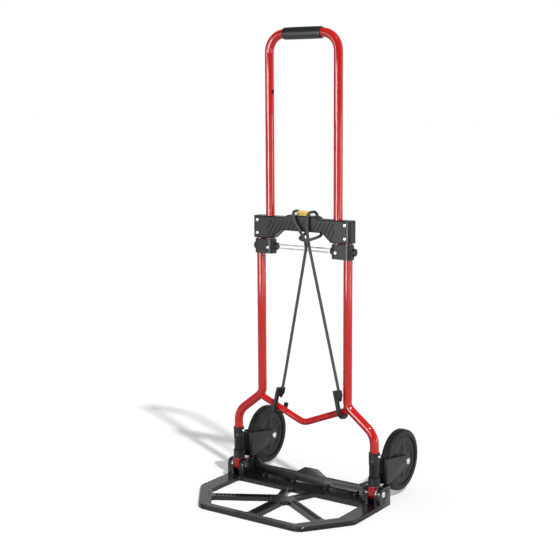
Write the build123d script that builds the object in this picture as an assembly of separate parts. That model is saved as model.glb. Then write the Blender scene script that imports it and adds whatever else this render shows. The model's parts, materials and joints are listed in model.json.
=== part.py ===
from build123d import *
import math
import os

# Folding hand truck. X is across, -Y is the front, +Z is up, and sizes are in millimetres.
# The pieces are drawn with the frame's tubes in the plane Y = 0, and moved together at the end.

# Driving dimensions: tubes
tube_od = 20.0
tube_wall = 1.5
cross_tube_od = 15.0
cross_tube_wall = 1.2
leg_half = 89.6
side_tube_spacing = 25.6
shoulder_reach = 69.3
shoulder_rise = 54.0
shoulder_bend = 25.0
knee_rise = 38.4
knee_bend = 45.0
side_tube_straight = 363.0
cross_tube_set_down = 8.0
cross_tube_drop = 46.0
cross_tube_bend = 30.0
handle_reach = 394.3
handle_bend = 40.0

# Driving dimensions: grip and slide blocks
grip_length = 98.0
grip_od = 27.0
grip_round = 2.8
block_height = 32.0
block_depth = 25.0
block_gap = 3.0
block_inner_margin = 13.5
block_outer_margin = 13.0
block_floor = 4.0
block_corner = 11.5
block_screw_rise = 14.2
block_screw_sink = 1.6
boss_radius = 8.5
boss_height = 4.0
boss_sink = 9.0
tie_rod_radius = 1.5
tie_rod_spacing = 8.0
tie_rod_set_back = 3.0
tie_rod_seat = 6.5

# Driving dimensions: crosshead
crosshead_height = 50.0
crosshead_depth = 28.0
crosshead_end_margin = 14.8
crosshead_corner = 5.0
crosshead_end_round = 10.5
crosshead_edge = 3.0
arch_half = 55.0
arch_foot_margin = 11.6
arch_rise = 20.0
crown_half = 36.0
crown_rise = 5.0
crown_slope = 8.0
socket_cap = 7.4
crosshead_screw_low = 11.4
crosshead_screw_high = 9.5
crosshead_screw_cover = 2.0
rib_count = 17
rib_pitch = 10.9
rib_width = 3.4
rib_height = 1.7
rib_round = 1.2
rib_lean = 29.0
rib_margin = 3.0
rib_top_margin = 8.0

# Driving dimensions: release button and lock
button_half_length = 16.0
button_half_depth = 9.0
button_rise = 10.0
button_dome = 4.0
button_travel = 5.0
button_stop = 0.6
button_over_bolt = 1.0
carrier_thickness = 6.0
carrier_below = 8.0
carrier_edge = 4.0
slot_lean = 45.0
lock_rise = 16.6
lock_travel = 288.0
lock_bolt_radius = 4.0
lock_hole_radius = 4.6
lock_pin_radius = 2.0
lock_pin_place = 16.0
clevis_inner = 8.0
clevis_back = 2.7
clevis_cheek = 2.6
clevis_room = 1.5
lock_wall = 3.0
guide_wall = 17.3
spring_wire = 1.2
spring_length = 17.5
spring_collar_width = 3.0
spring_collar_radius = 6.4
spring_room_gap = 1.0
room_half_depth = 10.0
room_roof = 3.4

# Driving dimensions: posts
pivot_height = 32.5
knuckle_width = 15.2
knuckle_radius = 13.0
knuckle_rise = 15.1
flange_od = 23.0
flange_height = 2.4
ring_od = 26.5
ring_height = 18.2
sleeve_od = 24.4
sleeve_head_height = 13.2
sleeve_waist_od = 22.8
sleeve_waist_height = 28.0
collar_od = 25.0
collar_height = 14.0
spindle_radius = 8.0
spindle_plug = 26.0
tang_radius = 4.5
tang_depth = 8.0

# Driving dimensions: toe plate
plate_front = 222.0
plate_rear = 31.5
plate_height = 10.0
bevel_across = 76.0
bevel_along = 103.0
plate_corner = 30.0
plate_edge = 2.0
groove_low = 4.0
groove_height = 1.8
groove_depth = 1.2
side_rim = 38.0
bevel_rim = 28.0
front_rim = 18.0
rear_strip_front = 22.0
plate_hub_forward = 92.0
plate_hub_radius = 20.0
centre_spoke = 26.0
diagonal_spoke = 19.0
diagonal_turn = 30.0
diagonal_root_half = 22.0
diagonal_root_back = 6.0
rear_spoke = 17.0
rear_spoke_root = 6.0
rear_spoke_half = 42.0
opening_corner = 6.0
ladder_rail = 4.5
ladder_pitch = 9.0
ladder_rung = 2.5
ladder_depth = 5.0
ladder_margin = 4.0

# Driving dimensions: foot housings and rear beam
cheek_gap = 0.6
inner_cheek = 13.8
outer_cheek = 15.3
cheek_round = 14.5
cheek_rear_drop = 2.0
housing_floor = 6.0
housing_web_gap = 4.0
housing_web_rise = 5.5
pocket_depth = 1.6
pocket_radius = 11.0
beam_thickness = 3.0
beam_height = 23.0
beam_end_height = 36.0
beam_corner = 6.0
hump_height = 37.0
hump_half = 17.0
hump_foot_half = 40.0
ramp_inset = 10.5
ramp_length = 25.0
ledge_depth = 8.0
ledge_thickness = 4.0
lug_radius = 9.0
lug_inner_place = 45.0
lug_outer_place = 125.0

# Driving dimensions: forks and wheels
wheel_radius = 70.0
wheel_width = 24.0
wheel_setback = 112.3
wheel_off_floor = 9.0
wheel_side_room = 1.5
tyre_depth = 15.0
tyre_shoulder = 7.0
rim_width = 20.0
hub_radius = 14.0
spoke_count = 6
spoke_width = 8.0
hub_pocket_inner = 19.0
hub_pocket_outer = 39.0
hub_pocket_depth = 1.0
hub_pocket_corner = 3.0
bush_wall = 2.5
axle_radius = 5.0
axle_head_radius = 7.0
axle_head_height = 4.0
nut_sides = 6
fork_arm = 7.0
fork_front = 21.0
fork_crown = 8.0
fork_heel = 16.0
fork_over_housing = 1.2
fork_top_drop = 3.7
fork_end_radius = 13.0
fork_front_round = 4.0
fork_neck = 14.0
fork_neck_margin = 3.0

# Driving dimensions: bungee cord and its hooks
cord_radius = 3.3
bend_share = 0.45
cord_lead = 14.0
hook_gap = 0.4
hook_inner = 11.5
hook_thickness = 7.5
hook_width = 9.0
hook_tail = 8.0
hook_shank = 30.0
hook_head_height = 18.0
hook_reach = 11.0
hook_head_past = 6.0
hook_head_cheek = 12.0
hook_head_tip = 25.0
hook_round = 1.6
hook_socket = 8.0
hook_seat_steps = 72
left_hook_place = -66.0
left_hook_lean = 13.8
left_hook_twist = 22.0
left_head_turn = 0.0
right_hook_place = 103.0
right_hook_lean = -13.0
right_hook_twist = 0.0
right_head_turn = 97.0

# Driving dimensions: fasteners and clearances
screw_radius = 2.5
screw_head_radius = 3.8
screw_head_height = 2.6
pivot_radius = 4.0
pivot_head_radius = 7.0
pivot_head_height = 3.0
beam_screw_radius = 2.0
beam_screw_head_radius = 3.6
beam_screw_head_height = 2.0
beam_screw_depth = 6.0
head_round = 0.45
seat_gap = 0.05
running_gap = 0.08
slide_gap = 0.3
side_gap = 0.3
lock_nose_gap = 0.4
cut_past = 1.0
same_place = 0.01

# Widths and places across the truck
tube_radius = tube_od / 2
tube_bore = tube_radius - tube_wall
side_tube_half = leg_half + side_tube_spacing
post_half = side_tube_half + shoulder_reach
crosshead_half = side_tube_half + crosshead_end_margin
arch_foot_half = leg_half - arch_foot_margin
cheek_inner = knuckle_width / 2 + cheek_gap
housing_inner = post_half - cheek_inner - inner_cheek
plate_half = post_half + cheek_inner + outer_cheek
arm_inner = wheel_width / 2 + wheel_side_room
arm_outer = arm_inner + fork_arm

# Heights of the posts, from the pivot up
flange_bottom = pivot_height + knuckle_rise
ring_bottom = flange_bottom + flange_height
ring_top = ring_bottom + ring_height
sleeve_bottom = ring_top + side_gap
sleeve_step = sleeve_bottom + sleeve_waist_height
sleeve_top = sleeve_step + sleeve_head_height
collar_bottom = sleeve_top + side_gap
collar_top = collar_bottom + collar_height
collar_middle = (collar_bottom + collar_top) / 2
shoulder_low = collar_top + knee_rise
shoulder_high = shoulder_low + shoulder_rise
cross_tube_high = shoulder_high - cross_tube_set_down
cross_tube_low = cross_tube_high - cross_tube_drop
cross_tube_slope = cross_tube_drop / side_tube_half
cheek_top = pivot_height + cheek_round
axle_height = wheel_off_floor + wheel_radius
fork_bottom = cheek_top + fork_over_housing
fork_top = sleeve_top - fork_top_drop

# Heights of the crosshead, the lock and the handle
crosshead_bottom = shoulder_high + side_tube_straight
crosshead_top = crosshead_bottom + crosshead_height
crown_top = crosshead_top + crown_rise
arch_top = crosshead_bottom + arch_rise
side_tube_top = crosshead_top - socket_cap
crosshead_front = -crosshead_depth / 2
crosshead_rear = crosshead_depth / 2
crosshead_screw_heights = (crosshead_bottom + crosshead_screw_low, crosshead_top - crosshead_screw_high)
block_top = crosshead_bottom - block_gap
block_bottom = block_top - block_height
block_screw_height = block_bottom + block_screw_rise
handle_top = crown_top + handle_reach
lock_height = arch_top + lock_rise
lock_hole_heights = (lock_height, lock_height + lock_travel)
carrier_half = lock_pin_place + carrier_edge
clevis_slot_end = carrier_half + button_travel + slide_gap
clevis_outer = clevis_slot_end + clevis_back
centre_room_half = clevis_outer + clevis_room
spring_start = centre_room_half + lock_wall
spring_end = spring_start + spring_length
button_bottom = lock_height + lock_bolt_radius + button_travel + button_over_bolt

# The origin is under the middle of the truck, from the plate's front to the wheels' rear
tube_plane = (plate_front - wheel_setback - wheel_radius) / 2
pieces = {}


def block(low, high):
    """A box between two opposite corners."""
    centre = [(a + b) / 2 for a, b in zip(low, high)]
    size = [b - a for a, b in zip(low, high)]
    return Pos(*centre) * Box(*size)


def rod(start, end, radius):
    """A round bar between two points."""
    run = Vector(*end) - Vector(*start)
    return Solid.make_cylinder(radius, run.length, Plane(origin=start, z_dir=run))


def rod_across(start, end, y, z, radius):
    """A round bar along X."""
    return rod((start, y, z), (end, y, z), radius)


def rod_through(front, rear, x, z, radius):
    """A round bar along Y."""
    return rod((x, front, z), (x, rear, z), radius)


def rod_up(bottom, top, x, radius):
    """An upright round bar in the plane of the tubes."""
    return rod((x, 0, bottom), (x, 0, top), radius)


def pipe(path, outer_radius, inner_radius=0.0):
    """A round bar or tube along a path."""
    section = Circle(outer_radius)
    if inner_radius > 0:
        section -= Circle(inner_radius)
    return sweep(Plane(origin=path @ 0, z_dir=path % 0) * section, path=path)


def upright(points, front, rear, rounds=()):
    """An outline of (x, z) points, with some corners rounded, given depth from front to rear."""
    face = Plane.XZ * make_face(Polyline(*points, close=True))
    for radius, chosen in rounds:
        corners = [v for v in face.vertices() if any(math.dist((v.X, v.Z), c) < same_place for c in chosen)]
        face = fillet(corners, radius)
    return Pos(0, rear, 0) * extrude(face, amount=rear - front)


def sideways(face_points, start, end):
    """An outline of (y, z) points, given width from start to end along X."""
    face = Plane.YZ * make_face(Polyline(*face_points, close=True))
    return Pos(start, 0, 0) * extrude(face, amount=end - start)


def both(name, right_piece):
    """Keeps a right-hand piece and its mirror image."""
    pieces["right_" + name] = right_piece
    pieces["left_" + name] = mirror(right_piece, about=Plane.YZ)


def screw(start, direction, length, radius, head_radius, head_height):
    """A screw whose head seats at start and whose shank runs along direction."""
    seat = Vector(*start)
    way = Vector(*direction)
    shank = rod(tuple(seat), tuple(seat + way * length), radius)
    head = rod(tuple(seat - way * head_height), tuple(seat), head_radius)
    rims = head.edges().filter_by(GeomType.CIRCLE)
    outer_rim = max(rims, key=lambda e: (e.arc_center - seat).length)
    return shank + fillet(outer_rim, head_height * head_round)


# Side tubes, each from the crosshead down over the shoulder to its post
screw_hole = screw_radius + seat_gap
collar_hole = rod_across(post_half - collar_od, post_half + collar_od, 0, collar_middle, screw_hole)


def side_tube():
    path = FilletPolyline(
        (side_tube_half, 0, side_tube_top),
        (side_tube_half, 0, shoulder_high),
        (post_half, 0, shoulder_low),
        (post_half, 0, collar_bottom),
        radius=[shoulder_bend, knee_bend],
    )
    tube = pipe(path, tube_radius, tube_bore)
    for height in crosshead_screw_heights:
        tube -= rod_through(-tube_od, tube_od, side_tube_half, height, screw_hole)
    tube -= collar_hole
    return tube, pipe(path, tube_radius)


right_side_tube, right_side_core = side_tube()
left_side_core = mirror(right_side_core, about=Plane.YZ)
both("side_tube", right_side_tube)

# Cross tube, a shallow V between the shoulders, shaped at its ends to the side tubes
cross_path = FilletPolyline(
    (-side_tube_half, 0, cross_tube_high),
    (0, 0, cross_tube_low),
    (side_tube_half, 0, cross_tube_high),
    radius=[cross_tube_bend],
)
cross_tube = pipe(cross_path, cross_tube_od / 2, cross_tube_od / 2 - cross_tube_wall)
cross_tube = cross_tube - right_side_core - left_side_core
pieces["cross_tube"] = max(cross_tube.solids(), key=lambda s: s.volume)

# Handle: one bent tube whose legs run through the crosshead into the slide blocks
handle_path = FilletPolyline(
    (-leg_half, 0, block_bottom + block_floor),
    (-leg_half, 0, handle_top),
    (leg_half, 0, handle_top),
    (leg_half, 0, block_bottom + block_floor),
    radius=[handle_bend, handle_bend],
)
handle_tube = pipe(handle_path, tube_radius, tube_bore)
for side in (-1, 1):
    leg = side * leg_half
    for height in lock_hole_heights:
        handle_tube -= rod_across(leg - side * tube_od, leg, 0, height, lock_hole_radius)
    handle_tube -= rod_through(-tube_od, 0, leg, block_screw_height, screw_hole)
pieces["handle_tube"] = handle_tube

grip_blank = rod_across(-grip_length / 2, grip_length / 2, 0, handle_top, grip_od / 2)
grip_blank = fillet(grip_blank.edges().filter_by(GeomType.CIRCLE), grip_round)
grip_bore = rod_across(-grip_length, grip_length, 0, handle_top, tube_radius + seat_gap)
pieces["handle_grip"] = grip_blank - grip_bore


# Slide blocks: each clamps a handle leg and runs on a side tube
def slide_block():
    inner = leg_half - block_inner_margin
    outer = side_tube_half + block_outer_margin
    half_depth = block_depth / 2
    body = block((inner, -half_depth, block_bottom), (outer, half_depth, block_top))
    body = fillet(body.edges().filter_by(Axis.Z), block_corner)
    boss_start = inner - boss_height
    boss_end = outer + boss_height
    for start, end in ((boss_start, inner + boss_sink), (outer - boss_sink, boss_end)):
        body += rod_across(start, end, tie_rod_set_back, block_middle, boss_radius)
    body -= rod_up(block_bottom + block_floor, crosshead_bottom, leg_half, tube_radius + seat_gap)
    body -= rod_up(block_bottom - block_height, crosshead_bottom, side_tube_half, tube_radius + slide_gap)
    for height in tie_rod_heights:
        seat = rod_across(0, boss_start + tie_rod_seat, tie_rod_set_back, height, tie_rod_radius + seat_gap)
        body -= seat
    sink_radius = screw_head_radius + slide_gap
    body -= rod_through(-block_depth, block_screw_seat, leg_half, block_screw_height, sink_radius)
    return body - rod_through(-block_depth, 0, leg_half, block_screw_height, screw_hole)


block_middle = (block_bottom + block_top) / 2
block_screw_seat = block_screw_sink - block_depth / 2
tie_rod_heights = (block_middle - tie_rod_spacing / 2, block_middle + tie_rod_spacing / 2)
both("slide_block", slide_block())
rod_end = leg_half - block_inner_margin - boss_height + tie_rod_seat
tie_rods = [rod_across(-rod_end, rod_end, tie_rod_set_back, h, tie_rod_radius) for h in tie_rod_heights]
pieces["tie_rods"] = Compound(tie_rods)
pieces["block_screws"] = Compound(
    [
        screw(
            (side * leg_half, block_screw_seat, block_screw_height),
            (0, 1, 0),
            tube_wall - tube_bore - block_screw_seat,
            screw_radius,
            screw_head_radius,
            screw_head_height,
        )
        for side in (-1, 1)
    ]
)

# Crosshead: a front and a rear shell, clamped on the side tubes and bored for the handle's legs
crosshead_outline = [
    (-crosshead_half, crosshead_bottom),
    (-arch_foot_half, crosshead_bottom),
    (-arch_half, arch_top),
    (arch_half, arch_top),
    (arch_foot_half, crosshead_bottom),
    (crosshead_half, crosshead_bottom),
    (crosshead_half, crosshead_top),
    (crown_half + crown_slope, crosshead_top),
    (crown_half, crown_top),
    (-crown_half, crown_top),
    (-crown_half - crown_slope, crosshead_top),
    (-crosshead_half, crosshead_top),
]
end_corners = [p for p in crosshead_outline if abs(p[0]) == crosshead_half]
soft_corners = [p for p in crosshead_outline if abs(p[0]) != crosshead_half]


def button_opening(gap, bottom, top):
    """The oval of the button, wider by a gap, between two heights."""
    oval = SlotOverall(2 * (button_half_length + gap), 2 * (button_half_depth + gap))
    return Pos(0, 0, bottom) * extrude(oval, amount=top - bottom)


def crosshead_rooms():
    """What is cut from both shells: sockets, bores, the lock's rooms and the screw holes."""
    floor = lock_height - carrier_below - button_travel - button_stop
    roof = crown_top - room_roof
    deep = room_half_depth
    rooms = block((-centre_room_half, -deep, floor), (centre_room_half, deep, roof))
    rooms += button_opening(slide_gap, roof - cut_past, crown_top + cut_past)
    spring_half = spring_collar_radius + spring_room_gap
    spring_room_end = leg_half - tube_radius - slide_gap - guide_wall
    for side in (-1, 1):
        near, far = sorted((side * spring_start, side * spring_room_end))
        low = lock_height - spring_half
        rooms += block((near, -spring_half, low), (far, spring_half, lock_height + spring_half))
        leg = side * leg_half
        rooms += rod_across(0, leg, 0, lock_height, lock_bolt_radius + running_gap)
        rooms += rod_up(block_top, crown_top, leg, tube_radius + slide_gap)
        socket = side * side_tube_half
        rooms += rod_up(block_top, side_tube_top + seat_gap, socket, tube_radius + seat_gap)
        screw_end = crosshead_rear - crosshead_screw_cover
        for height in crosshead_screw_heights:
            rooms += rod_through(-crosshead_depth, screw_end, socket, height, screw_hole)
    return rooms


def crosshead_ribs():
    """Slanting ribs on the front face, all leaning one way, kept inside the outline."""
    field = make_face(Polyline(*crosshead_outline, close=True))
    field = Plane.XZ * offset(field, -rib_margin, kind=Kind.INTERSECTION)
    field = Pos(0, crosshead_depth, 0) * extrude(field, amount=2 * crosshead_depth)
    span = (rib_count - 1) / 2 * rib_pitch
    rib_top = crosshead_top - rib_top_margin
    field &= block((-span, -crosshead_depth, 0), (span, crosshead_depth, rib_top))
    rib = Box(rib_width, 2 * rib_height, 2 * crosshead_height)
    rib = fillet(rib.edges().filter_by(Axis.Z), rib_round)
    middle = (crosshead_bottom + crosshead_top) / 2
    ribs = []
    for index in range(rib_count):
        place = (index - (rib_count - 1) / 2) * rib_pitch
        ribs += (field & (Pos(place, crosshead_front, middle) * Rot(0, rib_lean, 0) * rib)).solids()
    return ribs


def crosshead_shell(front, rear, outer_place):
    """One half of the crosshead: its outline, soft at the outer face's rim, with its ends rounded in plan."""
    rounds = [(crosshead_corner, end_corners), (crosshead_edge, soft_corners)]
    shell = upright(crosshead_outline, front, rear, rounds)
    shell = fillet(shell.faces().sort_by(Axis.Y)[outer_place].edges(), crosshead_edge)
    plan = RectangleRounded(2 * crosshead_half, crosshead_depth, crosshead_end_round)
    return shell & extrude(plan, amount=2 * crown_top)


rooms = crosshead_rooms()
front_shell = crosshead_shell(crosshead_front, 0, 0)
for rib in crosshead_ribs():
    front_shell += rib
pieces["crosshead_front_shell"] = front_shell - rooms
pieces["crosshead_rear_shell"] = crosshead_shell(0, crosshead_rear, -1) - rooms
pieces["crosshead_screws"] = Compound(
    [
        screw(
            (side * side_tube_half, crosshead_front, height),
            (0, 1, 0),
            crosshead_depth - crosshead_screw_cover - seat_gap,
            screw_radius,
            screw_head_radius,
            screw_head_height,
        )
        for side in (-1, 1)
        for height in crosshead_screw_heights
    ]
)


# Release button: an oval cap with a flat carrier, whose slanted slots draw the lock bolts in
def release_button():
    cap = button_opening(0, button_bottom, crown_top + button_rise)
    cap = fillet(cap.faces().sort_by(Axis.Z)[-1].edges(), button_dome)
    half = carrier_thickness / 2
    carrier = block((-carrier_half, -half, lock_height - carrier_below), (carrier_half, half, button_bottom))
    slot_radius = lock_pin_radius + slide_gap / 2
    slot_length = math.hypot(button_travel, button_travel) + 2 * slot_radius
    slot = Plane.XZ * SlotOverall(slot_length, 2 * slot_radius)
    slot = extrude(slot, amount=carrier_thickness, both=True)
    for side in (-1, 1):
        middle = (side * (lock_pin_place - button_travel / 2), 0, lock_height + button_travel / 2)
        carrier -= Pos(*middle) * Rot(0, side * slot_lean, 0) * slot
    return cap + carrier


pieces["release_button"] = release_button()


# Lock bolts: a round nose towards the leg and a clevis whose pin runs in the button's slot
def lock_bolt():
    nose = leg_half - tube_radius - lock_nose_gap
    bolt = rod_across(clevis_slot_end, nose, 0, lock_height, lock_bolt_radius)
    inner = carrier_thickness / 2 + slide_gap
    outer = inner + clevis_cheek
    low = lock_height - lock_bolt_radius
    high = lock_height + lock_bolt_radius
    yoke = block((clevis_inner, -outer, low), (clevis_outer, outer, high))
    yoke -= block((0, -inner, low - cut_past), (clevis_slot_end, inner, high + cut_past))
    pin = rod_through(-outer, outer, lock_pin_place, lock_height, lock_pin_radius)
    collar_end = spring_end + spring_collar_width
    collar = rod_across(spring_end, collar_end, 0, lock_height, spring_collar_radius)
    return bolt + yoke + pin + collar


both("lock_bolt", lock_bolt())
spring_bore = lock_bolt_radius + slide_gap
lock_spring = rod_across(spring_start, spring_end, 0, lock_height, spring_bore + spring_wire)
lock_spring -= rod_across(0, leg_half, 0, lock_height, spring_bore)
both("lock_spring", lock_spring)


# Posts: collar, spindle, ring and red knuckle at each foot of the frame
def on_post(bottom, top, outer_radius, inner_radius):
    """A ring round the right post."""
    bore = rod_up(bottom - cut_past, top + cut_past, post_half, inner_radius)
    return rod_up(bottom, top, post_half, outer_radius) - bore


collar = on_post(collar_bottom, collar_top, collar_od / 2, tube_radius + seat_gap) - collar_hole
both("post_collar", collar)
spindle = rod_up(flange_bottom, collar_bottom, post_half, spindle_radius)
spindle += rod_up(collar_bottom, collar_bottom + spindle_plug, post_half, tube_bore - seat_gap)
spindle += rod_up(flange_bottom - tang_depth, ring_bottom, post_half, tang_radius)
both("post_spindle", spindle - collar_hole)
both("post_ring", on_post(ring_bottom, ring_top, ring_od / 2, spindle_radius + seat_gap))
collar_screws = []
for side in (-1, 1):
    seat = (side * post_half + collar_od / 2, 0, collar_middle)
    collar_screws.append(
        screw(seat, (-1, 0, 0), collar_od, screw_radius, screw_head_radius, screw_head_height)
    )
pieces["collar_screws"] = Compound(collar_screws)


def knuckle():
    """The red end of the post: a flange, and a rounded tongue with the pivot hole."""
    half = knuckle_width / 2
    start = post_half - half
    end = post_half + half
    tongue = rod_across(start, end, 0, pivot_height, knuckle_radius)
    tongue += block((start, -knuckle_radius, pivot_height), (end, knuckle_radius, flange_bottom))
    tongue += rod_up(flange_bottom, ring_bottom, post_half, flange_od / 2)
    tongue -= rod_across(0, 2 * post_half, 0, pivot_height, pivot_radius + running_gap)
    tongue -= rod_up(flange_bottom - tang_depth, ring_top, post_half, tang_radius + seat_gap)
    tongue -= rod_up(flange_bottom, ring_top, post_half, spindle_radius + seat_gap)
    return tongue


both("post_knuckle", knuckle())


# Toe plate: a rimmed outline with five openings between its spokes
def plate_outline():
    points = [
        (-plate_half, plate_rear),
        (-plate_half, bevel_along - plate_front),
        (bevel_across - plate_half, -plate_front),
        (plate_half - bevel_across, -plate_front),
        (plate_half, bevel_along - plate_front),
        (plate_half, plate_rear),
    ]
    face = make_face(Polyline(*points, close=True))
    return fillet([v for v in face.vertices() if v.Y < 0], plate_corner)


def bar(start, end, width):
    """A flat strip between two points of the plate."""
    run = Vector(*end) - Vector(*start)
    middle = (Vector(*start) + Vector(*end)) / 2
    turn = math.degrees(math.atan2(run.Y, run.X))
    return Pos(middle.X, middle.Y) * Rot(0, 0, turn) * Rectangle(run.length, width)


def diagonal_ends(side):
    """The root of a diagonal spoke, beside the plate's hub, and a point past its far end."""
    turn = math.radians(diagonal_turn)
    root = Vector(diagonal_root_half, diagonal_root_back - plate_hub_forward)
    tip = root + Vector(math.cos(turn), -math.sin(turn)) * plate_half
    return (side * root.X, root.Y), (side * tip.X, tip.Y)


def spokes():
    """Each spoke's two ends and its width."""
    runs = [((0, -plate_hub_forward), (0, -plate_front), centre_spoke)]
    for side in (-1, 1):
        rear_end = (side * rear_spoke_half, 0)
        runs.append(((side * rear_spoke_root, -plate_hub_forward), rear_end, rear_spoke))
        runs.append((*diagonal_ends(side), diagonal_spoke))
    return runs


def inner_field():
    """The face inside the plate's rims, before the spokes cross it."""
    bevel = Vector(-bevel_across, -bevel_along).normalized()
    on_bevel = Vector(plate_half, bevel_along - plate_front) + Vector(bevel.Y, -bevel.X) * bevel_rim
    inner_half = plate_half - side_rim
    inner_front = front_rim - plate_front
    side_point = on_bevel + bevel * ((inner_half - on_bevel.X) / bevel.X)
    front_point = on_bevel + bevel * ((inner_front - on_bevel.Y) / bevel.Y)
    right = [(inner_half, -rear_strip_front), (side_point.X, side_point.Y), (front_point.X, front_point.Y)]
    left = [(-x, y) for x, y in reversed(right)]
    return make_face(Polyline(*right, *left, close=True))


def plate_openings():
    """The faces between the rims and the spokes."""
    face = inner_field()
    for start, end, width in spokes():
        face -= bar(start, end, width)
    face -= Pos(0, -plate_hub_forward) * Circle(plate_hub_radius)
    openings = []
    for opening in face.faces():
        if opening.area > plate_hub_radius**2:
            shrunk = offset(opening, -opening_corner, kind=Kind.INTERSECTION)
            openings.append(offset(shrunk, opening_corner, kind=Kind.ARC))
    return openings


def ladder_cells():
    """Rectangles along the top of each spoke, between its rails and rungs, clear of the hub and the rims."""
    field = offset(inner_field(), -ladder_margin, kind=Kind.INTERSECTION)
    field -= Pos(0, -plate_hub_forward) * Circle(plate_hub_radius + ladder_margin)
    room = field.face()
    cells = []
    for start, end, width in spokes():
        run = Vector(*end) - Vector(*start)
        turn = Rot(0, 0, math.degrees(math.atan2(run.Y, run.X)))
        cell = Rectangle(ladder_pitch - ladder_rung, width - 2 * ladder_rail)
        for index in range(int(run.length / ladder_pitch)):
            centre = Vector(*start) + run.normalized() * (index + 0.5) * ladder_pitch
            placed = Pos(centre.X, centre.Y) * turn * cell
            if all(room.is_inside(corner.center()) for corner in placed.vertices()):
                cells.append(placed)
    return cells


def toe_plate():
    outline = plate_outline()
    plate = extrude(outline, amount=plate_height)
    top_edges = plate.faces().sort_by(Axis.Z)[-1].edges()
    plate = fillet([e for e in top_edges if e.center().Y < plate_rear - same_place], plate_edge)
    band = extrude(outline - offset(outline, -groove_depth), amount=groove_height)
    plate -= Pos(0, 0, groove_low) * band
    for face in plate_openings():
        plate -= Pos(0, 0, -plate_height) * extrude(face, amount=3 * plate_height)
    for cell in ladder_cells():
        plate -= Pos(0, 0, plate_height - ladder_depth) * extrude(cell, amount=2 * ladder_depth)
    for side in (-1, 1):
        low, high = sorted((side * housing_inner, side * 2 * plate_half))
        plate -= block((low, -cheek_round, -plate_height), (high, 2 * plate_rear, 2 * plate_height))
    for place in beam_screw_places:
        hole_end = (place, beam_screw_row, plate_height - beam_screw_depth)
        plate -= rod(hole_end, (place, beam_screw_row, 2 * plate_height), beam_screw_radius + seat_gap)
    return plate


beam_screw_row = plate_rear - beam_thickness - ledge_depth
beam_screw_places = [side * place for side in (-1, 1) for place in (lug_inner_place, lug_outer_place)]
pieces["toe_plate"] = toe_plate()


# Foot housings: two cheeks on the pivot bolt, a floor and a rear web
def foot_housing():
    profile = [
        (-cheek_round, 0),
        (plate_rear, 0),
        (plate_rear, cheek_top - cheek_rear_drop),
        (0, cheek_top),
        (0, pivot_height),
        (-cheek_round, pivot_height),
    ]
    whole = sideways(profile, housing_inner, plate_half)
    whole += rod_across(housing_inner, plate_half, 0, pivot_height, cheek_round)
    slot_low = post_half - cheek_inner
    slot_high = post_half + cheek_inner
    web_front = knuckle_radius + housing_web_gap
    web_top = pivot_height + housing_web_rise
    whole -= block((slot_low, -2 * cheek_round, housing_floor), (slot_high, web_front, 2 * cheek_top))
    whole -= block((slot_low, 0, web_top), (slot_high, 2 * plate_rear, 2 * cheek_top))
    whole -= rod_across(0, 2 * plate_half, 0, pivot_height, pivot_radius + seat_gap)
    return whole - rod_across(pivot_seat, 2 * plate_half, 0, pivot_height, pocket_radius)


pivot_seat = plate_half - pocket_depth
both("foot_housing", foot_housing())
pivot_bolt = screw(
    (pivot_seat, 0, pivot_height),
    (-1, 0, 0),
    pivot_seat - housing_inner,
    pivot_radius,
    pivot_head_radius,
    pivot_head_height,
)
nut_end = housing_inner - pivot_head_height
pivot_bolt += rod_across(nut_end, housing_inner, 0, pivot_height, pivot_head_radius)
both("pivot_bolt", pivot_bolt)


# Rear beam: an upright wall with a hump, ramps at its ends, and a ledge with round lugs for its screws
def rear_beam():
    half = housing_inner - side_gap / 2
    beam_top = plate_height + beam_height
    end_top = plate_height + beam_end_height
    hump_top = plate_height + hump_height
    ramp_end = housing_inner - ramp_inset
    right = [
        (half, plate_height),
        (half, end_top),
        (ramp_end, end_top),
        (ramp_end - ramp_length, beam_top),
        (hump_foot_half, beam_top),
        (hump_half, hump_top),
    ]
    outline = right + [(-x, z) for x, z in reversed(right)]
    soft = [p for p in outline if abs(p[0]) < half]
    wall = upright(outline, plate_rear - beam_thickness, plate_rear, [(beam_corner, soft)])
    ledge_top = plate_height + ledge_thickness
    wall += block((-half, beam_screw_row, plate_height), (half, plate_rear, ledge_top))
    for place in beam_screw_places:
        wall += rod((place, beam_screw_row, plate_height), (place, beam_screw_row, ledge_top), lug_radius)
        hole_top = (place, beam_screw_row, 2 * ledge_top)
        wall -= rod((place, beam_screw_row, 0), hole_top, beam_screw_radius + seat_gap)
    return wall


pieces["rear_beam"] = rear_beam()
pieces["beam_screws"] = Compound(
    [
        screw(
            (place, beam_screw_row, plate_height + ledge_thickness),
            (0, 0, -1),
            ledge_thickness + beam_screw_depth,
            beam_screw_radius,
            beam_screw_head_radius,
            beam_screw_head_height,
        )
        for place in beam_screw_places
    ]
)


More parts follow.
